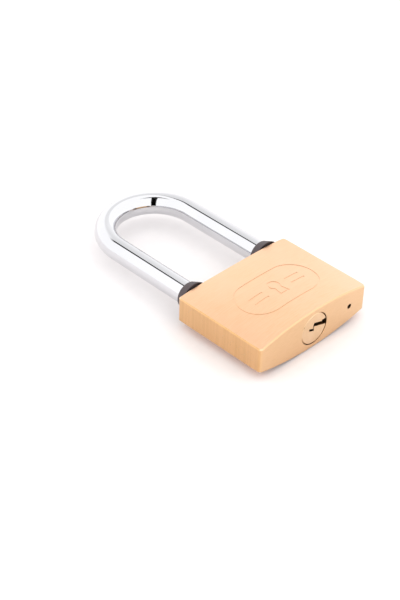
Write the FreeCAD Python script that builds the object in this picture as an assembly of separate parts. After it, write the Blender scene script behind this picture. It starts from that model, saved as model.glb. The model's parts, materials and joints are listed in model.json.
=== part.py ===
import FreeCAD, Part
import math
import os

from FreeCAD import Vector

# A long-shackle brass padlock with a five-pin cylinder.
# Millimetres. The origin is the middle of the key face, on the cylinder's axis.
# +X runs towards the heel leg, +Y towards the shackle, +Z out of the front face.

X_DIR = Vector(1, 0, 0)
Y_DIR = Vector(0, 1, 0)
Z_DIR = Vector(0, 0, 1)

# ---------------------------------------------------------------- driving sizes

# Shackle
SHACKLE_DIAMETER = 8.0
SHACKLE_STRAIGHT = 37.5       # body to the start of the bend
LEG_TO_SIDE = 3.9             # leg's surface to the body's side face
LEG_CLEARANCE = 0.10          # radial running fit of a leg in its bore
TOE_TIP_LAND = 1.7            # full section left below the toe's notch
TOE_CHAMFER = 0.8
NECK_DEPTH = 0.9              # radial, of the turned neck of the heel leg
HEEL_COLLAR = 2.0             # full section left at the heel's end
HEEL_LIFT_OFF = 0.6           # heel end above the floor of its bore
HEEL_FLOOR = 3.0              # brass left under the heel bore
HEEL_NECK_WALL = 1.0          # steel left round the spring hollow, at the neck
HEEL_HOLLOW_DEPTH = 13.0

# Body
WIDTH = 50.0
HEIGHT = 37.0                 # key face to shackle end
SIDE_WALL = 0.5               # brass beside a leg bore, at the side faces
KEY_FACE_WALL = 1.85          # brass beside the plug's flange
CORE_WALL = 1.85              # brass beside the plug at mid height
SHACKLE_END_CROWN = 0.65      # rise of the front face at the shackle end
CORNER_RADIUS = 1.2
EDGE_BEVEL = 0.4
TOP_WALL = 6.3                # brass between the latch channel and the shackle end
DRAIN_RADIUS = 0.9

# Engraving on the front face: a frame with round ends, round a keyhole and rules
FRAME_LENGTH = 33.0           # along X, over its round ends
FRAME_HEIGHT = 17.6           # along Y
STROKE = 0.6
ENGRAVING_DEPTH = 0.09
ENGRAVING_OFFSET = -1.6       # centre of the engraving from mid height
KEYHOLE_RADIUS = 2.3
KEYHOLE_FOOT_WIDTH = 4.2
KEYHOLE_FOOT_DROP = 5.4
RULE_LENGTH = 6.0
RULE_GAP = 3.0
RULE_FROM_CENTRE = 8.4

# Seals round the legs
SEAL_BORE_CLEARANCE = 0.08
SEAL_SLEEVE_WALL = 0.42
SEAL_SLEEVE_DEPTH = 2.2
SEAL_HEIGHT = 3.8
SEAL_LIP = 1.8                # how far the lip stands out from the leg
SEAL_LIP_EDGE = 0.25
SEAL_TOP_WALL = 0.58          # from the leg to the rounded top edge
SEAL_TOP_ROUND = 0.3
SEAL_FOOT = 0.9               # width of the ring that rests on the body
SEAL_UNDERCUT = 0.3           # gap between the lip and the body

# Plug and cam
PLUG_RADIUS = 5.2
PLUG_CLEARANCE = 0.05
FLANGE_STEP = 0.6             # radial step from the plug to its flange
FLANGE_LENGTH = 1.6
FLANGE_CLEARANCE = 0.17
PLUG_EDGE = 0.3
CAM_THICKNESS = 2.0
CAM_GAP = 0.30                # cam rim to its bore, and cam face to the latch
TONGUE_WIDTH = 2.2
TONGUE_LENGTH = 7.0
TONGUE_DEPTH = 1.5
TONGUE_CLEARANCE = 0.04
DRIVE_PIN_RADIUS = 1.2
GROOVE_DEPTH = 0.9
GROOVE_WIDTH = 1.9
GROOVE_TO_END = 2.2           # groove's middle to the plug's inner end

# Keyway: a slanted slot from the plug's rim, a narrow web and a slanted tail, as (x, z)
KEYWAY_MOUTH_X = 3.6          # where the slot widens towards the rim
KEYWAY_MOUTH_TOP = 1.65
KEYWAY_SLANT = 0.31           # fall of the slot, per length
KEYWAY_SLOT = 1.4             # opening of the slot across Z
KEYWAY_WEB_X = (-0.5, -0.15)
KEYWAY_WEB_TOP = 2.35
KEYWAY_TAIL_X = -2.45
KEYWAY_TAIL_SLANT = 0.38
KEYWAY_TAIL = 0.9             # opening of the tail across Z
KEYWAY_END_WALL = 2.6         # plug left behind the keyway

# Latch
LATCH_THICKNESS = 3.6
LATCH_HALF_WIDTH = 3.0
LATCH_TRAVEL = 5.0
LATCH_ENGAGEMENT = 0.8
LATCH_CHAMFER = 0.4
LATCH_CLEARANCE = 0.12
LATCH_HOOK = 1.4              # wall that the cam's drive pin pulls
LATCH_PLUG_RADIUS = 3.55
LATCH_PLUG_GAP = 0.2
NOTCH_FLOOR_GAP = 0.25
NOTCH_TOP_GAP = 0.25
RELEASE_MARGIN = 0.30
SLOT_SIDE_GAP = 0.16
SLOT_FLOOR_GAP = 0.15
OPEN_GAP = 0.35               # toe tip above its seal with the shackle fully lifted
SPRING_WALL = 2.1             # brass between the latch spring and the heel bore

# Pin stacks
PIN_COUNT = 5
FIRST_PIN = 4.4
PIN_PITCH = 3.6
PIN_RADIUS = 1.4
PIN_CLEARANCE = 0.08
KEY_PIN_LENGTHS = (2.6, 3.4, 2.2, 3.0, 3.8)
KEY_PIN_STOP = 0.0            # where every key pin's tip stops with the key out
KEY_PIN_TIP = 0.8
KEY_PIN_TIP_RADIUS = 0.5
KEY_PIN_TOP_GAP = 0.12        # below the plug's rim, so that the flat top clears the bore
DRIVER_LENGTH = 4.4
PIN_EDGE = 0.3
DRIVER_GAP = 0.04             # above the plug's bore
CHAMBER_PLUG_LENGTH = 4.0
CHAMBER_PLUG_FIT = 0.02

# Retaining pins, driven in from the back face
SHACKLE_PIN_RADIUS = 0.9
PLUG_PIN_RADIUS = 0.8
RETAINER_GAP = 0.15
RETAINER_FIT = 0.02
RETAINER_BLIND = 3.4          # how far past the mid plane the pins reach
SEAT_GAP = 0.05               # below a retaining pin's end and a seal's sleeve

# Springs: wire radius, and clear space left round the coil and at its ends
PIN_SPRING_WIRE = 0.16
PIN_SPRING_TURNS = 7
LATCH_SPRING_WIRE = 0.22
LATCH_SPRING_RADIUS = 1.3
LATCH_SPRING_TURNS = 8
SHACKLE_SPRING_WIRE = 0.28
SHACKLE_SPRING_TURNS = 12
SPRING_CLEARANCE = 0.15
SPRING_END_GAP = 0.05

# --------------------------------------------------------------- derived sizes

LEG_RADIUS = SHACKLE_DIAMETER / 2
LEG_BORE = LEG_RADIUS + LEG_CLEARANCE
LEG_X = WIDTH / 2 - LEG_TO_SIDE - LEG_RADIUS
NECK_RADIUS = LEG_RADIUS - NECK_DEPTH
HEEL_HOLLOW_RADIUS = NECK_RADIUS - HEEL_NECK_WALL
SEAL_FLANGE_RADIUS = LEG_RADIUS + SEAL_LIP
FLANGE_RADIUS = PLUG_RADIUS + FLANGE_STEP
HALF_SIDE = LEG_BORE + SIDE_WALL
KEY_END_CROWN = FLANGE_RADIUS + KEY_FACE_WALL - HALF_SIDE
MIDDLE_CROWN = PLUG_RADIUS + CORE_WALL - HALF_SIDE
THICKEST = HALF_SIDE + KEY_END_CROWN

CHANNEL_TOP = HEIGHT - TOP_WALL
LATCH_TOP = CHANNEL_TOP - LATCH_CLEARANCE
LATCH_BOTTOM = LATCH_TOP - LATCH_THICKNESS
LATCH_MIDDLE = (LATCH_TOP + LATCH_BOTTOM) / 2
CHANNEL_BOTTOM = LATCH_BOTTOM - LATCH_CLEARANCE
CAM_TOP = LATCH_BOTTOM - CAM_GAP
CAM_BOTTOM = CAM_TOP - CAM_THICKNESS
PLUG_LENGTH = CAM_BOTTOM

# The shackle rises while the latch draws back, both in step with the plug.
# The notch is taller than the latch by what the toe rises before the latch lets go.
RELEASE_SHARE = LATCH_ENGAGEMENT / LATCH_TRAVEL
TOE_BELOW_TOP = HEIGHT - LATCH_BOTTOM + TOE_TIP_LAND
CLEAR_OF_SEAL = SEAL_HEIGHT + OPEN_GAP
NOTCH_PLAY = (
    RELEASE_SHARE * (TOE_BELOW_TOP + CLEAR_OF_SEAL) - 2 * LATCH_CHAMFER + RELEASE_MARGIN
) / (1 - RELEASE_SHARE)
TOE_DEPTH = TOE_BELOW_TOP + NOTCH_PLAY
LIFT = TOE_DEPTH + CLEAR_OF_SEAL
TOE_TIP = HEIGHT - TOE_DEPTH

HEEL_END = HEEL_FLOOR + HEEL_LIFT_OFF
HEEL_COLLAR_TOP = HEEL_END + HEEL_COLLAR
SHACKLE_PIN_Y = HEEL_COLLAR_TOP + LIFT + RETAINER_GAP + SHACKLE_PIN_RADIUS
SHACKLE_PIN_X = LEG_X + NECK_RADIUS + RETAINER_GAP + SHACKLE_PIN_RADIUS
NECK_TOP = SHACKLE_PIN_Y + SHACKLE_PIN_RADIUS + 2 * RETAINER_GAP
BEND_Y = HEIGHT + SHACKLE_STRAIGHT

GROOVE_Y = PLUG_LENGTH - GROOVE_TO_END
GROOVE_RADIUS = PLUG_RADIUS - GROOVE_DEPTH
PLUG_PIN_X = GROOVE_RADIUS + RETAINER_GAP + PLUG_PIN_RADIUS

DRIVE_OFFSET = LATCH_TRAVEL / 2             # the drive pin starts at (-offset, +offset)
CHAMBER_RADIUS = PIN_RADIUS + PIN_CLEARANCE
CAM_CHAMBER_RADIUS = DRIVE_OFFSET * math.sqrt(2) + DRIVE_PIN_RADIUS + SLOT_SIDE_GAP
LATCH_TIP_X = -(LEG_X - LEG_RADIUS) - LATCH_ENGAGEMENT
LATCH_END_X = -DRIVE_OFFSET + DRIVE_PIN_RADIUS + SLOT_SIDE_GAP + LATCH_HOOK
CHANNEL_END_X = LEG_X - LEG_BORE - SPRING_WALL


# ------------------------------------------------------------ geometry helpers

def rod_y(radius, x, y_low, y_high):
    """A round bar along Y, on the mid plane."""
    return Part.makeCylinder(radius, y_high - y_low, Vector(x, y_low, 0), Y_DIR)


def rod_x(radius, y, x_low, x_high):
    """A round bar along X, on the mid plane."""
    return Part.makeCylinder(radius, x_high - x_low, Vector(x_low, y, 0), X_DIR)


def rod_z(radius, x, y, z_low, z_high):
    return Part.makeCylinder(radius, z_high - z_low, Vector(x, y, z_low), Z_DIR)


def block(x_low, x_high, y_low, y_high, z_low, z_high):
    corner = Vector(x_low, y_low, z_low)
    return Part.makeBox(x_high - x_low, y_high - y_low, z_high - z_low, corner)


def prism(points, z_low, z_high):
    """A solid over an outline of (x, y) points."""
    outline = Part.makePolygon([Vector(x, y, z_low) for x, y in points + points[:1]])
    return Part.Face(outline).extrude(Vector(0, 0, z_high - z_low))


def turned(profile, x):
    """A body of revolution about the Y line at x, from (radius, y) points."""
    points = [Vector(x + radius, y, 0) for radius, y in profile + profile[:1]]
    face = Part.Face(Part.makePolygon(points))
    return face.revolve(Vector(x, 0, 0), Y_DIR, 360)


def coil(radius, wire, turns, length):
    """A helical spring along Z from the origin, within its length."""
    rise = length - 2 * wire
    path = Part.makeHelix(rise / turns, rise, radius)
    section = Part.Wire(Part.makeCircle(wire, Vector(radius, 0, 0), Y_DIR))
    spring = Part.Wire(path).makePipeShell([section], True, True)
    spring.translate(Vector(0, 0, wire))
    return spring


def laid_along(shape, direction, start, built_along=Z_DIR):
    """A shape built from the origin, turned to a direction and moved to its start."""
    turn = FreeCAD.Placement(start, FreeCAD.Rotation(built_along, direction))
    moved = shape.copy()
    moved.Placement = turn.multiply(shape.Placement)
    return moved


def edges_where(shape, test):
    return [edge for edge in shape.Edges if test(edge.BoundBox)]


# ------------------------------------------------------------------------ body

def bowed_arc(y, crown):
    """The front face's curve at y, carried on past the side faces."""
    half = WIDTH / 2
    radius = (half ** 2 + crown ** 2) / (2 * crown)
    past = half + CORNER_RADIUS
    drop = radius - math.sqrt(radius ** 2 - past ** 2)
    high = HALF_SIDE + crown
    return past, Vector(-past, y, high - drop), Vector(0, y, high), Vector(past, y, high - drop)


def body_section(y, crown):
    """One cross section, wider than the body: front and back faces bowed outwards."""
    past, left, middle, right = bowed_arc(y, crown)
    front = Part.Arc(left, middle, right)
    back = Part.Arc(*[Vector(-p.x, y, -p.z) for p in (left, middle, right)])
    sides = [
        Part.LineSegment(Vector(side, y, side * left.z / past), Vector(side, y, -side * left.z / past))
        for side in (past, -past)
    ]
    return Part.Wire([curve.toShape() for curve in (front, sides[0], back, sides[1])])


def blank():
    """The body before any machining: bowed faces between flat sides."""
    sections = [
        body_section(0, KEY_END_CROWN),
        body_section(HEIGHT / 2, MIDDLE_CROWN),
        body_section(HEIGHT, SHACKLE_END_CROWN),
    ]
    bowed = Part.makeLoft(sections, True, False)
    half = WIDTH / 2
    return bowed.common(block(-half, half, 0, HEIGHT, -2 * THICKEST, 2 * THICKEST))


def dressed(solid):
    """Rounds the four upright corners and bevels the rims of both faces."""
    small = 0.01
    corners = edges_where(solid, lambda box: box.XLength < small and box.YLength < small)
    solid = solid.makeFillet(CORNER_RADIUS, corners)
    reach = HALF_SIDE - small
    rims = edges_where(
        solid,
        lambda box: (box.ZMin > reach or box.ZMax < -reach),
    )
    return solid.makeChamfer(EDGE_BEVEL, rims)


def frame_plate(inset, y):
    """A plate with straight long sides and round ends."""
    radius = FRAME_HEIGHT / 2 - inset
    end = (FRAME_LENGTH - FRAME_HEIGHT) / 2
    rounds = [rod_z(radius, x, y, 0, 2 * THICKEST) for x in (-end, end)]
    middle = block(-end, end, y - radius, y + radius, 0, 2 * THICKEST)
    return middle.fuse(rounds).removeSplitter()


def keyhole_plate(inset, y):
    """A keyhole: a round eye over a spreading foot."""
    eye = rod_z(KEYHOLE_RADIUS - inset, 0, y, 0, 2 * THICKEST)
    half_foot = KEYHOLE_FOOT_WIDTH / 2 - inset
    half_neck = KEYHOLE_RADIUS / 2 - inset
    low = y - KEYHOLE_FOOT_DROP + inset
    foot = [(-half_neck, y), (-half_foot, low), (half_foot, low), (half_neck, y)]
    return eye.fuse(prism(foot, 0, 2 * THICKEST))


def engraving(raw):
    """The frame, a keyhole and two pairs of rules, all of one depth."""
    y = HEIGHT / 2 + ENGRAVING_OFFSET
    strokes = [frame_plate(0, y).cut(frame_plate(STROKE, y))]
    eye_y = y + KEYHOLE_FOOT_DROP / 2 - KEYHOLE_RADIUS / 2
    strokes.append(keyhole_plate(0, eye_y).cut(keyhole_plate(STROKE, eye_y)))
    for side in (-1, 1):
        middle = side * RULE_FROM_CENTRE
        for shift in (-RULE_GAP / 2, RULE_GAP / 2):
            low = y + shift - STROKE / 2
            strokes.append(
                block(
                    middle - RULE_LENGTH / 2, middle + RULE_LENGTH / 2,
                    low, low + STROKE, 0, 2 * THICKEST,
                )
            )
    floor = raw.copy()
    floor.translate(Vector(0, 0, -ENGRAVING_DEPTH))
    return [stroke.cut(floor) for stroke in strokes]


def seal_pocket(x):
    radius = LEG_RADIUS + SEAL_BORE_CLEARANCE + SEAL_SLEEVE_WALL + RETAINER_FIT
    return rod_y(radius, x, HEIGHT - SEAL_SLEEVE_DEPTH - SEAT_GAP, HEIGHT + 1)


def latch_channel():
    half = LATCH_HALF_WIDTH + LATCH_CLEARANCE
    return block(-LEG_X, CHANNEL_END_X, CHANNEL_BOTTOM, CHANNEL_TOP, -half, half)


def pin_positions():
    return [FIRST_PIN + index * PIN_PITCH for index in range(PIN_COUNT)]


def make_body(raw):
    cuts = [
        rod_y(LEG_BORE, LEG_X, HEEL_FLOOR, HEIGHT + 1),
        rod_y(LEG_BORE, -LEG_X, TOE_TIP - HEEL_LIFT_OFF, HEIGHT + 1),
        rod_y(DRAIN_RADIUS, LEG_X, -1, HEEL_FLOOR + 1),
        seal_pocket(LEG_X),
        seal_pocket(-LEG_X),
        rod_y(PLUG_RADIUS + PLUG_CLEARANCE, 0, -1, CHANNEL_BOTTOM),
        rod_y(FLANGE_RADIUS + FLANGE_CLEARANCE, 0, -1, FLANGE_LENGTH + FLANGE_CLEARANCE),
        rod_y(CAM_CHAMBER_RADIUS, 0, CHANNEL_BOTTOM - 1, CHANNEL_TOP),
        latch_channel(),
        rod_x(LATCH_PLUG_RADIUS, LATCH_MIDDLE, -WIDTH / 2 - 1, -LEG_X),
        retainer_hole(SHACKLE_PIN_RADIUS, SHACKLE_PIN_X, SHACKLE_PIN_Y),
        retainer_hole(PLUG_PIN_RADIUS, PLUG_PIN_X, GROOVE_Y),
    ]
    cuts += [rod_x(CHAMBER_RADIUS, y, -WIDTH / 2 - 1, 0) for y in pin_positions()]
    cuts += engraving(raw)
    return dressed(raw).cut(cuts)


def retainer_hole(radius, x, y):
    return rod_z(radius + RETAINER_FIT, x, y, -THICKEST - 1, RETAINER_BLIND + SEAT_GAP)


def make_retainer(radius, x, y, raw):
    """A plain pin, dressed flush with the back face."""
    return rod_z(radius, x, y, -THICKEST - 1, RETAINER_BLIND).common(raw)


# --------------------------------------------------------------------- shackle

def make_bend():
    """The half ring that joins the two legs."""
    section = Part.Face(Part.Wire(Part.makeCircle(LEG_RADIUS, Vector(LEG_X, BEND_Y, 0), Y_DIR)))
    return section.revolve(Vector(0, BEND_Y, 0), Z_DIR, 180)


def make_shackle():
    heel = turned(
        [
            (0, HEEL_END),
            (LEG_RADIUS, HEEL_END),
            (LEG_RADIUS, HEEL_COLLAR_TOP),
            (NECK_RADIUS, HEEL_COLLAR_TOP),
            (NECK_RADIUS, NECK_TOP),
            (LEG_RADIUS, NECK_TOP + LEG_RADIUS - NECK_RADIUS),
            (LEG_RADIUS, BEND_Y),
            (0, BEND_Y),
        ],
        LEG_X,
    )
    toe = turned(
        [
            (0, TOE_TIP),
            (LEG_RADIUS - TOE_CHAMFER, TOE_TIP),
            (LEG_RADIUS, TOE_TIP + TOE_CHAMFER),
            (LEG_RADIUS, BEND_Y),
            (0, BEND_Y),
        ],
        -LEG_X,
    )
    shackle = heel.fuse([toe, make_bend()]).removeSplitter()
    hollow = rod_y(HEEL_HOLLOW_RADIUS, LEG_X, HEEL_END - 1, HEEL_END + HEEL_HOLLOW_DEPTH)
    return shackle.cut([hollow, toe_notch()])


def toe_notch():
    """The flat-bottomed notch that the latch enters, with its lower lip bevelled."""
    inner = -(LEG_X - LEG_RADIUS)
    floor = inner - LATCH_ENGAGEMENT - NOTCH_FLOOR_GAP
    low = LATCH_BOTTOM - NOTCH_PLAY
    high = LATCH_TOP + NOTCH_TOP_GAP
    outline = [
        (floor, low),
        (inner - LATCH_CHAMFER, low),
        (inner + 1, low - LATCH_CHAMFER - 1),
        (inner + 1, high),
        (floor, high),
    ]
    return prism(outline, -LEG_RADIUS, LEG_RADIUS)


def make_seal(x):
    """A sleeve in the leg bore under a tapered collar with a thin lip."""
    bore = LEG_RADIUS + SEAL_BORE_CLEARANCE
    sleeve = bore + SEAL_SLEEVE_WALL
    foot = bore + SEAL_FOOT
    top = LEG_RADIUS + SEAL_TOP_WALL
    outline = [
        (bore, HEIGHT - SEAL_SLEEVE_DEPTH),
        (sleeve, HEIGHT - SEAL_SLEEVE_DEPTH),
        (sleeve, HEIGHT),
        (foot, HEIGHT),
        (foot, HEIGHT + SEAL_UNDERCUT),
        (SEAL_FLANGE_RADIUS, HEIGHT + SEAL_UNDERCUT),
        (SEAL_FLANGE_RADIUS, HEIGHT + SEAL_UNDERCUT + SEAL_LIP_EDGE),
        (top, HEIGHT + SEAL_HEIGHT - SEAL_TOP_ROUND),
        (top - SEAL_TOP_ROUND, HEIGHT + SEAL_HEIGHT),
        (bore, HEIGHT + SEAL_HEIGHT),
    ]
    return turned(outline, x)


# ---------------------------------------------------------------- plug and cam

def keyway():
    """The slot that takes the key's blade, open at the plug's rim."""
    web_low_x, web_high_x = KEYWAY_WEB_X
    past = FLANGE_RADIUS + 1
    web_foot = KEYWAY_WEB_TOP - KEYWAY_SLOT

    def slot_low(x):
        return web_foot - KEYWAY_SLANT * (x - web_high_x)

    def tail_high(x):
        return KEYWAY_TAIL - KEYWAY_TAIL_SLANT * (x - KEYWAY_TAIL_X)

    outline = [
        (past, slot_low(past)),
        (web_high_x, web_foot),
        (web_high_x, tail_high(web_high_x) - KEYWAY_TAIL),
        (KEYWAY_TAIL_X, 0),
        (KEYWAY_TAIL_X, KEYWAY_TAIL),
        (web_low_x, tail_high(web_low_x)),
        (web_low_x, KEYWAY_WEB_TOP - KEYWAY_SLOT / 2),
        (web_high_x, KEYWAY_WEB_TOP),
        (KEYWAY_MOUTH_X, slot_low(KEYWAY_MOUTH_X) + KEYWAY_SLOT),
        (KEYWAY_MOUTH_X, KEYWAY_MOUTH_TOP),
        (past, KEYWAY_MOUTH_TOP),
    ]
    points = [Vector(x, -1, z) for x, z in outline + outline[:1]]
    face = Part.Face(Part.makePolygon(points))
    return face.extrude(Vector(0, PLUG_LENGTH - KEYWAY_END_WALL + 1, 0))


def make_plug():
    plug = turned(
        [
            (0, 0),
            (FLANGE_RADIUS - PLUG_EDGE, 0),
            (FLANGE_RADIUS, PLUG_EDGE),
            (FLANGE_RADIUS, FLANGE_LENGTH),
            (PLUG_RADIUS, FLANGE_LENGTH),
            (PLUG_RADIUS, GROOVE_Y - GROOVE_WIDTH / 2),
            (GROOVE_RADIUS, GROOVE_Y - GROOVE_WIDTH / 2),
            (GROOVE_RADIUS, GROOVE_Y + GROOVE_WIDTH / 2),
            (PLUG_RADIUS, GROOVE_Y + GROOVE_WIDTH / 2),
            (PLUG_RADIUS, PLUG_LENGTH),
            (0, PLUG_LENGTH),
        ],
        0,
    )
    cuts = [keyway(), tongue(TONGUE_CLEARANCE)]
    cuts += [rod_x(CHAMBER_RADIUS, y, -FLANGE_RADIUS, KEY_PIN_STOP + PIN_CLEARANCE) for y in pin_positions()]
    return plug.cut(cuts)


def tongue(gap):
    """The bar across the cam's back, or with a gap the slot that takes it."""
    return block(
        -TONGUE_LENGTH / 2 - gap, TONGUE_LENGTH / 2 + gap,
        PLUG_LENGTH - TONGUE_DEPTH - gap, CAM_BOTTOM + gap,
        -TONGUE_WIDTH / 2 - gap, TONGUE_WIDTH / 2 + gap,
    )


def make_cam():
    disc = rod_y(PLUG_RADIUS + PLUG_CLEARANCE - CAM_GAP, 0, CAM_BOTTOM, CAM_TOP)
    drive_pin = rod_y(DRIVE_PIN_RADIUS, -DRIVE_OFFSET, CAM_TOP, LATCH_TOP)
    drive_pin.translate(Vector(0, 0, DRIVE_OFFSET))
    return disc.fuse([drive_pin, tongue(0)])


# ----------------------------------------------------------------------- latch

def make_latch():
    """A flat bolt with a bevelled nose and a cross slot for the drive pin."""
    outline = [
        (LATCH_TIP_X + LATCH_CHAMFER, LATCH_BOTTOM),
        (LATCH_END_X, LATCH_BOTTOM),
        (LATCH_END_X, LATCH_TOP),
        (LATCH_TIP_X + LATCH_ENGAGEMENT, LATCH_TOP),
        (LATCH_TIP_X, LATCH_TOP - LATCH_ENGAGEMENT),
        (LATCH_TIP_X, LATCH_BOTTOM + LATCH_CHAMFER),
    ]
    bolt = prism(outline, -LATCH_HALF_WIDTH, LATCH_HALF_WIDTH)
    half_slot = DRIVE_PIN_RADIUS + SLOT_SIDE_GAP
    slot = block(
        -DRIVE_OFFSET - half_slot, -DRIVE_OFFSET + half_slot,
        LATCH_BOTTOM - 1, LATCH_TOP + 1,
        DRIVE_OFFSET - DRIVE_PIN_RADIUS - SLOT_FLOOR_GAP, LATCH_HALF_WIDTH + 1,
    )
    return bolt.cut(slot)


# ------------------------------------------------------------------ pin stacks

def make_key_pin(y, length):
    """Flat at the shear line, tapered where it rides on the key."""
    top = -PLUG_RADIUS + KEY_PIN_TOP_GAP
    tip = top + length
    outline = [
        (0, top),
        (PIN_RADIUS - PIN_EDGE, top),
        (PIN_RADIUS, top + PIN_EDGE),
        (PIN_RADIUS, tip - KEY_PIN_TIP),
        (KEY_PIN_TIP_RADIUS, tip),
        (0, tip),
    ]
    return laid_along(turned(outline, 0), X_DIR, Vector(0, y, 0), Y_DIR)


def make_driver(y):
    top = -PLUG_RADIUS - PLUG_CLEARANCE - DRIVER_GAP
    driver = rod_x(PIN_RADIUS, y, top - DRIVER_LENGTH, top)
    return driver.makeChamfer(PIN_EDGE, edges_where(driver, lambda box: box.XLength < PIN_EDGE))


def make_chamber_plug(y):
    side = -WIDTH / 2
    return rod_x(CHAMBER_RADIUS - CHAMBER_PLUG_FIT, y, side, side + CHAMBER_PLUG_LENGTH)


def make_pin_spring(y):
    inner = -PLUG_RADIUS - PLUG_CLEARANCE - DRIVER_GAP - DRIVER_LENGTH - SPRING_END_GAP
    outer = -WIDTH / 2 + CHAMBER_PLUG_LENGTH + SPRING_END_GAP
    radius = CHAMBER_RADIUS - SPRING_CLEARANCE - PIN_SPRING_WIRE
    spring = coil(radius, PIN_SPRING_WIRE, PIN_SPRING_TURNS, inner - outer)
    return laid_along(spring, X_DIR, Vector(outer, y, 0))


# --------------------------------------------------------------- other springs

def make_latch_spring():
    start = LATCH_END_X + SPRING_END_GAP
    length = CHANNEL_END_X - SPRING_END_GAP - start
    spring = coil(LATCH_SPRING_RADIUS, LATCH_SPRING_WIRE, LATCH_SPRING_TURNS, length)
    return laid_along(spring, X_DIR, Vector(start, LATCH_MIDDLE, 0))


def make_shackle_spring():
    start = HEEL_FLOOR + SPRING_END_GAP
    length = HEEL_END + HEEL_HOLLOW_DEPTH - SPRING_END_GAP - start
    radius = HEEL_HOLLOW_RADIUS - SPRING_CLEARANCE - SHACKLE_SPRING_WIRE
    spring = coil(radius, SHACKLE_SPRING_WIRE, SHACKLE_SPRING_TURNS, length)
    return laid_along(spring, Y_DIR, Vector(LEG_X, start, 0))


def make_latch_plug():
    side = -WIDTH / 2
    inner = -LEG_X - LEG_BORE - LATCH_PLUG_GAP
    return rod_x(LATCH_PLUG_RADIUS - CHAMBER_PLUG_FIT, LATCH_MIDDLE, side, inner)


# -------------------------------------------------------------------- assembly

def make_parts():
    raw = blank()
    parts = {
        "body": make_body(raw),
        "shackle": make_shackle(),
        "heel_seal": make_seal(LEG_X),
        "toe_seal": make_seal(-LEG_X),
        "plug": make_plug(),
        "cam": make_cam(),
        "latch": make_latch(),
        "latch_spring": make_latch_spring(),
        "latch_channel_plug": make_latch_plug(),
        "shackle_spring": make_shackle_spring(),
        "shackle_retaining_pin": make_retainer(SHACKLE_PIN_RADIUS, SHACKLE_PIN_X, SHACKLE_PIN_Y, raw),
        "plug_retaining_pin": make_retainer(PLUG_PIN_RADIUS, PLUG_PIN_X, GROOVE_Y, raw),
    }
    for number, y in enumerate(pin_positions(), 1):
        parts[f"key_pin_{number}"] = make_key_pin(y, KEY_PIN_LENGTHS[number - 1])
        parts[f"driver_pin_{number}"] = make_driver(y)
        parts[f"pin_spring_{number}"] = make_pin_spring(y)
        parts[f"chamber_plug_{number}"] = make_chamber_plug(y)
    return parts


os.makedirs("parts", exist_ok=True)
for node, shape in make_parts().items():
    shape.exportStep(f"parts/{node}.step")
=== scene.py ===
import json
import math

import bpy
from mathutils import Matrix, Vector


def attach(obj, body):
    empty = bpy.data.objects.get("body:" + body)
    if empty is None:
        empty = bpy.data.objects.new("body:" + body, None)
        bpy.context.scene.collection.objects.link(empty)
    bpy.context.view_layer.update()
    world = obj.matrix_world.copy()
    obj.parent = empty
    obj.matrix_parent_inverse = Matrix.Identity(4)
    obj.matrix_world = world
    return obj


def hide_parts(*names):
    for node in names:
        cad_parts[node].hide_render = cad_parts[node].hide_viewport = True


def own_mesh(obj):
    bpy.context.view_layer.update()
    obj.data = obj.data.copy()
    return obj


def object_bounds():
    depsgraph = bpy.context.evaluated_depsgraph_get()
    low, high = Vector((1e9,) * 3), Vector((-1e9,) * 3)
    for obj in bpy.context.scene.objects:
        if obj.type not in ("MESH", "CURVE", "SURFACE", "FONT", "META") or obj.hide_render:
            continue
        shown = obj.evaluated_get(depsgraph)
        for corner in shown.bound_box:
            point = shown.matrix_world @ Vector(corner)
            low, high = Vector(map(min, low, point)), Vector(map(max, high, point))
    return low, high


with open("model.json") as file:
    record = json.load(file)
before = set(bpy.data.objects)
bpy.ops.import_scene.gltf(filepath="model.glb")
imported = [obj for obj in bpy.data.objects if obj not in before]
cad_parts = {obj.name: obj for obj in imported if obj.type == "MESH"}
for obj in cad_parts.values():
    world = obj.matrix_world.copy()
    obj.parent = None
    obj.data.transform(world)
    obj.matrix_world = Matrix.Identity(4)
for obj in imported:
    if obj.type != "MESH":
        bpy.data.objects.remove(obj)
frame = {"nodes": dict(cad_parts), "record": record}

CAD_LOW, CAD_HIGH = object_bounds()

# Lengths are metres and angles are degrees, but for the camera's own lens and sensor.

# The camera, at the photograph's viewing angle
AZIMUTH = 45.66               # of the view direction, from +Y towards +X
ELEVATION = 37.56
ROLL = 1.85
DISTANCE = 0.472
FOCAL_LENGTH = 86.67          # millimetres, as the sensor's width is
SENSOR_WIDTH = 36.0
NEAREST_SEEN = 0.01
AIM = Vector((-0.0164, 0.0354, 0.0))

# The studio is white all round, but for a dimmer panel up at the back right with dark seams
# along its left and near edges, and a dark opening where the camera looks in. Places on it
# are the X and Y of the direction from the padlock.
WORLD_LIGHT = 1.5
PANEL_NEAR = 0.40
PANEL_FAR = 0.63
PANEL_FADE = 0.72             # the panel fades out from its far edge to here
PANEL_LEFT_NEAR = 0.12
PANEL_LEFT_FAR = 0.05
PANEL_LEVELS = ((0.0, 0.71), (0.30, 0.74), (0.55, 0.80), (0.8, 0.92))   # from the left edge
SEAM_NEAR = 0.045             # half widths of the left seam, near and far
SEAM_FAR = 0.095
SEAM_FADE = 0.06              # the left seam fades out this far past the panel's far edge
NEAR_SEAM = 0.018             # half width of the near seam
NEAR_SEAM_DARK = 0.7          # and its darkness, which fades out along this stretch
NEAR_SEAM_FADE = (0.1, 0.5)
OPENING_AZIMUTH = 39.0        # of the opening, from -Y towards -X
OPENING_HEAD = 0.06           # half widths of the opening, high up and low down
OPENING_FOOT = 0.12
SLIT_HALF = 0.10              # a slit across the opening's head, tapering out
SLIT_REACH = 0.33
SOFT_EDGE = 0.008

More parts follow.
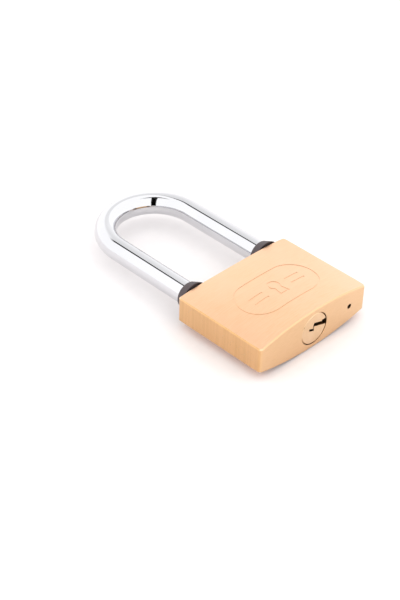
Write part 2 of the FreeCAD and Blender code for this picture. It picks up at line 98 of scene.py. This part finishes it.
# The floor, a translucent sheet lit from below
FLOOR_SIZE = 3.0
FLOOR_GLOW = 0.08
PAPER = ((0.88, 0.85, 0.85, 1), (0.90, 0.87, 0.87, 1))
CONTACT = 0.0034              # reach of the painted shadow where the padlock meets the floor
CONTACT_SHADE = (0.80, 0.70, 0.68, 1)

# Colours of the materials, from darker to lighter where there are two
BRUSHED_BRASS = ((0.83, 0.485, 0.26, 1), (0.91, 0.55, 0.325, 1))
# lighter on the bevels: partly handled bare, partly a painted highlight
CLOUD_BRASS = (0.91, 0.56, 0.365, 1)
BEVEL_WEAR_AND_HIGHLIGHT = (1.0, 0.79, 0.50, 1)         # handled bare on the bevels
# Painted shade: the sides and the key face are darkened over the same brass, as though less lit
SIDE_SHADE = (0.775, 0.735, 0.51, 1)
KEY_FACE_SHADE = (0.87, 0.91, 0.77, 1)
TURNED_BRASS = ((0.74, 0.51, 0.295, 1), (0.82, 0.59, 0.385, 1))
CHROME = ((0.64, 0.64, 0.66, 1), (0.68, 0.68, 0.70, 1))
SEAL = ((0.034, 0.023, 0.027, 1), (0.076, 0.050, 0.052, 1))
PLAIN_STEEL = ((0.42, 0.42, 0.43, 1), (0.56, 0.56, 0.57, 1))
SPRING_STEEL = ((0.35, 0.35, 0.37, 1), (0.5, 0.5, 0.52, 1))
WHITE = (1, 1, 1, 1)

# Painted shade: holes and slots darken inwards over this reach, down to this share of the tone
HOLE_REACH = 0.003
HOLE_SHADE_DARKEST = 0.02
# Painted shade on the seals, darker where the body stands close
SEAL_REACH = 0.004
SEAL_SHADE_DARKEST = 0.2
SHADE_SAMPLES = 8

# Brushing is a noise stretched by these along X, Y and Z, so it runs along the least of them
SIDE_STROKES = (300, 300, 8)
KEY_FACE_STROKES = (100, 60, 1200)
FRONT_STROKES = (60, 1500, 60)

# Noises over a surface, in cells per metre, and the middle of their values
CLOUDS = 90.0
FINE_GRAIN = 2500.0
TURNED_CLOUDS = 220.0
HAZE = 60.0
SEAL_SPECKS = 1800.0
STEEL_SPECKS = 500.0
FIBRES = 300.0
LATHE_RINGS = 900.0
MIDDLE = (0.3, 0.7)

# Depths of the marks
BRUSH_DEPTH = 0.00002
GRAIN_DEPTH = 0.00001
LATHE_DEPTH = 0.000006
SPECK_DEPTH = 0.00003


# ------------------------------------------------------------- node shorthands

class Tree:
    """A node tree with short calls for the nodes used here."""

    def __init__(self, tree):
        self.nodes, self.links = tree.nodes, tree.links

    def add(self, kind, **settings):
        node = self.nodes.new(kind)
        for key, value in settings.items():
            setattr(node, key, value)
        return node

    def join(self, value, socket):
        if isinstance(value, (int, float, tuple)):
            socket.default_value = value
        else:
            self.links.new(value, socket)

    def place(self, scale=(1, 1, 1)):
        """Object coordinates, stretched by scale."""
        source = self.add("ShaderNodeTexCoord").outputs["Object"]
        mapping = self.add("ShaderNodeMapping")
        self.join(source, mapping.inputs["Vector"])
        mapping.inputs["Scale"].default_value = scale
        return mapping.outputs["Vector"]

    def noise(self, where, scale, detail=2.0, roughness=0.5):
        node = self.add("ShaderNodeTexNoise")
        self.join(where, node.inputs["Vector"])
        node.inputs["Scale"].default_value = scale
        node.inputs["Detail"].default_value = detail
        node.inputs["Roughness"].default_value = roughness
        return node.outputs["Fac"]

    def span(self, value, low, high, to_low=0.0, to_high=1.0):
        node = self.add("ShaderNodeMapRange")
        self.join(value, node.inputs["Value"])
        node.inputs["From Min"].default_value = low
        node.inputs["From Max"].default_value = high
        node.inputs["To Min"].default_value = to_low
        node.inputs["To Max"].default_value = to_high
        return node.outputs["Result"]

    def math(self, operation, a, b=0.0):
        node = self.add("ShaderNodeMath", operation=operation)
        self.join(a, node.inputs[0])
        self.join(b, node.inputs[1])
        return node.outputs["Value"]

    def mix(self, factor, a, b):
        node = self.add("ShaderNodeMix", data_type="RGBA")
        self.join(factor, node.inputs["Factor"])
        self.join(a, node.inputs["A"])
        self.join(b, node.inputs["B"])
        return node.outputs["Result"]

    def times(self, a, b):
        node = self.add("ShaderNodeMix", data_type="RGBA", blend_type="MULTIPLY")
        node.inputs["Factor"].default_value = 1.0
        self.join(a, node.inputs["A"])
        self.join(b, node.inputs["B"])
        return node.outputs["Result"]

    def bump(self, height, distance, strength=1.0, normal=None):
        node = self.add("ShaderNodeBump")
        self.join(height, node.inputs["Height"])
        node.inputs["Distance"].default_value = distance
        node.inputs["Strength"].default_value = strength
        if normal is not None:
            self.links.new(normal, node.inputs["Normal"])
        return node.outputs["Normal"]


class Surface(Tree):
    """A material's node tree."""

    def __init__(self, name):
        self.material = bpy.data.materials.new(name)
        self.material.use_nodes = True
        super().__init__(self.material.node_tree)
        self.shader = self.nodes["Principled BSDF"]

    def set(self, **sockets):
        for key, value in sockets.items():
            name = key.replace("_", " ").title().replace("Ior", "IOR")
            self.join(value, self.shader.inputs[name])

    def shade(self, reach):
        """1 on open faces, less where something stands within reach."""
        node = self.add("ShaderNodeAmbientOcclusion", samples=SHADE_SAMPLES)
        node.inputs["Distance"].default_value = reach
        return node.outputs["AO"]

    def mottled(self, factor, tones):
        """From the first of two tones to the second, as a noise goes over its middle range."""
        return self.mix(self.span(factor, *MIDDLE), *tones)


def painted_hollow_shade(t, reach, darkest, shut=0.15, clear=0.55):
    """A painted-shade factor that falls from 1 on open faces to darkest deep inside holes and
    slots.
    """
    return t.span(t.shade(reach), shut, clear, darkest, 1.0)


def satin_brass(name):
    """Pale gold brass, brushed along X on the bowed faces and the ends, and along Z on the sides.

    A name in share or brushed is the axis that a face looks along.
    """
    t = Surface(name)
    geometry = t.add("ShaderNodeNewGeometry")
    facing = t.add("ShaderNodeSeparateXYZ")
    t.join(geometry.outputs["Normal"], facing.inputs["Vector"])
    share = {axis: t.span(t.math("ABSOLUTE", facing.outputs[axis]), 0.6, 0.8) for axis in "XYZ"}
    brushed = {
        "X": t.span(t.noise(t.place(SIDE_STROKES), 3.0, 4.0, 0.7), 0.38, 0.62, 0.25, 0.75),
        "Y": t.noise(t.place(KEY_FACE_STROKES), 3.0, 4.0, 0.7),
        "Z": t.noise(t.place(FRONT_STROKES), 4.0, 3.0, 0.6),
    }
    grain = flat = 0.0
    for axis in "XYZ":
        grain = t.math("ADD", grain, t.math("MULTIPLY", share[axis], brushed[axis]))
        flat = t.math("ADD", flat, share[axis])
    cloud = t.noise(t.place(), CLOUDS, 3.0, 0.55)
    fine = t.noise(t.place(), FINE_GRAIN)
    tone = t.mix(t.span(grain, 0.35, 0.65), *BRUSHED_BRASS)
    tone = t.mix(t.span(cloud, 0.35, 0.7, 0.0, 0.35), tone, CLOUD_BRASS)
    # Painted shade on the sides and the key face
    for axis, face_shade in (("X", SIDE_SHADE), ("Y", KEY_FACE_SHADE)):
        tone = t.times(tone, t.mix(share[axis], WHITE, face_shade))
    # The bevels are lighter, mottled by the clouds: partly wear, partly a painted highlight
    bevels = t.span(flat, 0.2, 1.0, 1.0, 0.0)
    worn_and_highlit = t.math("MULTIPLY", bevels, t.span(cloud, 0.3, 0.6, 0.45, 0.9))
    tone = t.mix(worn_and_highlit, tone, BEVEL_WEAR_AND_HIGHLIGHT)
    # Painted shade inside holes and slots
    tone = t.times(tone, painted_hollow_shade(t, HOLE_REACH, HOLE_SHADE_DARKEST))
    uneven = t.math("ADD", t.math("MULTIPLY", grain, 0.6), t.math("MULTIPLY", cloud, 0.4))
    t.set(base_color=tone, metallic=1.0, roughness=t.span(uneven, *MIDDLE, 0.30, 0.44))
    t.set(coat_weight=1.0, coat_roughness=0.3, coat_ior=1.5)
    soft = t.bump(fine, GRAIN_DEPTH, 0.3)
    t.join(t.bump(grain, BRUSH_DEPTH, 0.5, soft), t.shader.inputs["Normal"])
    return t.material


def turned_brass(name):
    """Brass with the fine rings of a lathe tool round Y."""
    t = Surface(name)
    where = t.place()
    rings = t.add("ShaderNodeTexWave", wave_type="RINGS", rings_direction="Y")
    t.join(where, rings.inputs["Vector"])
    rings.inputs["Scale"].default_value = LATHE_RINGS
    rings.inputs["Distortion"].default_value = 1.5
    cloud = t.noise(where, TURNED_CLOUDS, 3.0)
    tone = t.mottled(cloud, TURNED_BRASS)
    # Painted shade inside holes and slots
    tone = t.times(tone, painted_hollow_shade(t, HOLE_REACH, HOLE_SHADE_DARKEST))
    t.set(base_color=tone, metallic=1.0, roughness=t.span(cloud, *MIDDLE, 0.26, 0.38))
    t.join(t.bump(rings.outputs["Fac"], LATHE_DEPTH, 0.4), t.shader.inputs["Normal"])
    return t.material


def chrome(name):
    """Polished plating with a faint haze."""
    t = Surface(name)
    haze = t.noise(t.place(), HAZE, 3.0)
    t.set(base_color=t.mottled(haze, CHROME), metallic=1.0)
    t.set(roughness=t.span(haze, *MIDDLE, 0.035, 0.075))
    return t.material


def seal_plastic(name):
    """Dark moulded plastic, finely grained."""
    t = Surface(name)
    speck = t.noise(t.place(), SEAL_SPECKS, 3.0)
    tone = t.mottled(speck, SEAL)
    # Painted shade where the body stands close to the seal
    tone = t.times(tone, painted_hollow_shade(t, SEAL_REACH, SEAL_SHADE_DARKEST, 0.35, 0.8))
    t.set(base_color=tone, roughness=t.span(speck, *MIDDLE, 0.42, 0.6))
    t.join(t.bump(speck, SPECK_DEPTH, 0.5), t.shader.inputs["Normal"])
    return t.material


def steel(name, tones, rough):
    """Bare steel, from rough to a little rougher in specks."""
    t = Surface(name)
    speck = t.noise(t.place(), STEEL_SPECKS, 3.0)
    t.set(base_color=t.mottled(speck, tones), metallic=1.0)
    t.set(roughness=t.span(speck, *MIDDLE, rough, rough + 0.12))
    return t.material


def floor_paper(name):
    """White paper with a painted shadow where the padlock touches it."""
    t = Surface(name)
    fibre = t.noise(t.place(), FIBRES, 3.0)
    tone = t.mottled(fibre, PAPER)
    # Painted contact shadow, which also dims the floor's glow there
    tone = t.times(tone, t.mix(t.shade(CONTACT), CONTACT_SHADE, WHITE))
    t.set(base_color=tone, roughness=0.7, emission_color=tone, emission_strength=FLOOR_GLOW)
    return t.material


# ------------------------------------------------------------------- the parts

def dress():
    """Every CAD piece's material."""
    brass = satin_brass("body_brass")
    looks = {
        "body": brass,
        "latch_channel_plug": brass,
        "shackle": chrome("shackle_chrome"),
        "plug": turned_brass("plug_brass"),
        "heel_seal": seal_plastic("seal_plastic"),
        "latch": steel("plain_steel", PLAIN_STEEL, 0.3),
    }
    looks["toe_seal"] = looks["heel_seal"]
    looks["cam"] = looks["plug"]
    wire = steel("spring_steel", SPRING_STEEL, 0.25)
    pin = turned_brass("pin_brass")
    for name, node in frame["nodes"].items():
        if name.startswith("chamber_plug"):
            look = brass
        elif name.startswith(("key_pin", "driver_pin")):
            look = pin
        elif name.endswith("retaining_pin"):
            look = looks["latch"]
        elif "spring" in name:
            look = wire
        else:
            look = looks[name]
        node.data.materials.clear()
        node.data.materials.append(look)


def shorten_springs():
    """Copies of the coils that a pin or the latch pushes along X, each attached to the case in
    place of its CAD piece.
    """
    for joint in frame["record"]["behaviour"]["joints"]:
        for pressed in joint.get("deforming_nodes", ()):
            if pressed["mode"] != "scale_x":
                continue
            name, still = pressed["node"], pressed["fixed_end_x_m"]
            coil = bpy.data.objects.new(name + "_coil", frame["nodes"][name].data.copy())
            bpy.context.scene.collection.objects.link(coil)
            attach(coil, "case")
            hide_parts(name)
            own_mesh(coil)


# ------------------------------------------------------------ floor and lights

def lay_floor():
    """A square sheet under the padlock's back face."""
    half = FLOOR_SIZE / 2
    mesh = bpy.data.meshes.new("floor")
    corners = [(-half, -half), (half, -half), (half, half), (-half, half)]
    mesh.from_pydata([(x, y, CAD_LOW.z) for x, y in corners], [], [(0, 1, 2, 3)])
    mesh.materials.append(floor_paper("floor_paper"))
    floor = bpy.data.objects.new("floor", mesh)
    bpy.context.scene.collection.objects.link(floor)


def light_studio():
    """The white tent round the padlock, as the world's light."""
    world = bpy.data.worlds.new("studio")
    world.use_nodes = True
    sky = Tree(world.node_tree)
    background = sky.nodes["Background"]
    parts = sky.add("ShaderNodeSeparateXYZ")
    sky.join(sky.add("ShaderNodeTexCoord").outputs["Generated"], parts.inputs["Vector"])
    x, y = parts.outputs["X"], parts.outputs["Y"]

    def strip(value, half):
        """1 within half of zero, 0 outside."""
        outside = sky.math("SUBTRACT", sky.math("ABSOLUTE", value), half)
        return sky.span(outside, -SOFT_EDGE, SOFT_EDGE, 1, 0)

    def both(a, b):
        return sky.math("MULTIPLY", a, b)

    left_edge = sky.span(y, PANEL_NEAR, PANEL_FAR, PANEL_LEFT_NEAR, PANEL_LEFT_FAR)
    side = sky.math("SUBTRACT", x, left_edge)
    past_near = sky.span(y, PANEL_NEAR - SOFT_EDGE, PANEL_NEAR + SOFT_EDGE)
    before_far = sky.span(y, PANEL_FAR, PANEL_FADE, 1, 0)
    right = sky.span(side, -SOFT_EDGE, SOFT_EDGE)
    ramp = sky.add("ShaderNodeValToRGB")
    sky.join(side, ramp.inputs["Fac"])
    stops = ramp.color_ramp.elements
    stops.remove(stops[-1])
    for index, (place, level) in enumerate(PANEL_LEVELS):
        stop = stops[0] if index == 0 else stops.new(place)
        stop.position = place
        stop.color = (level, level, level, 1)
    panel = both(right, both(past_near, before_far))
    sky.join(sky.mix(panel, WHITE, ramp.outputs["Color"]), background.inputs["Color"])

    seam_half = sky.span(y, PANEL_NEAR, PANEL_FAR, SEAM_NEAR, SEAM_FAR)
    seam_end = sky.span(y, PANEL_FAR, PANEL_FAR + SEAM_FADE, 1, 0)
    left_seam = both(strip(side, seam_half), both(past_near, seam_end))
    near_seam = strip(sky.math("SUBTRACT", y, PANEL_NEAR), NEAR_SEAM)
    near_seam = both(near_seam, sky.span(side, *NEAR_SEAM_FADE, NEAR_SEAM_DARK, 0))
    near_seam = both(near_seam, right)

    turn = math.radians(OPENING_AZIMUTH)
    turn_x, turn_y = math.sin(turn), math.cos(turn)
    nearer = sky.math("SUBTRACT", both(x, -turn_x), both(y, turn_y))
    aside = sky.math("SUBTRACT", both(x, turn_y), both(y, turn_x))
    opening = strip(aside, sky.span(nearer, 0, 1, OPENING_HEAD, OPENING_FOOT))
    opening = both(opening, sky.span(nearer, 0, SLIT_HALF))
    slit_half = sky.span(sky.math("ABSOLUTE", aside), 0, SLIT_REACH, SLIT_HALF, -SOFT_EDGE)
    slit = strip(nearer, slit_half)

    dark = left_seam
    for patch in (near_seam, opening, slit):
        dark = sky.math("MAXIMUM", dark, patch)
    strength = both(sky.math("SUBTRACT", 1.0, dark), WORLD_LIGHT)
    sky.join(strength, background.inputs["Strength"])
    bpy.context.scene.world = world


def set_camera():
    """The camera, looking at AIM along the view direction, rolled about it."""
    azimuth, elevation, roll = (math.radians(v) for v in (AZIMUTH, ELEVATION, ROLL))
    forward = Vector((
        math.sin(azimuth) * math.cos(elevation),
        math.cos(azimuth) * math.cos(elevation),
        -math.sin(elevation),
    ))
    data = bpy.data.cameras.new("camera")
    data.sensor_fit = "AUTO"
    data.sensor_width = SENSOR_WIDTH
    data.lens = FOCAL_LENGTH
    data.clip_start = NEAREST_SEEN
    camera = bpy.data.objects.new("camera", data)
    camera.location = AIM - forward * DISTANCE
    camera.rotation_mode = "QUATERNION"
    level = forward.to_track_quat("-Z", "Y")
    camera.rotation_quaternion = level @ Matrix.Rotation(roll, 3, "Z").to_quaternion()
    bpy.context.scene.collection.objects.link(camera)
    bpy.context.scene.camera = camera


dress()
shorten_springs()
lay_floor()
light_studio()
set_camera()
bpy.context.scene.view_settings.view_transform = "Standard"
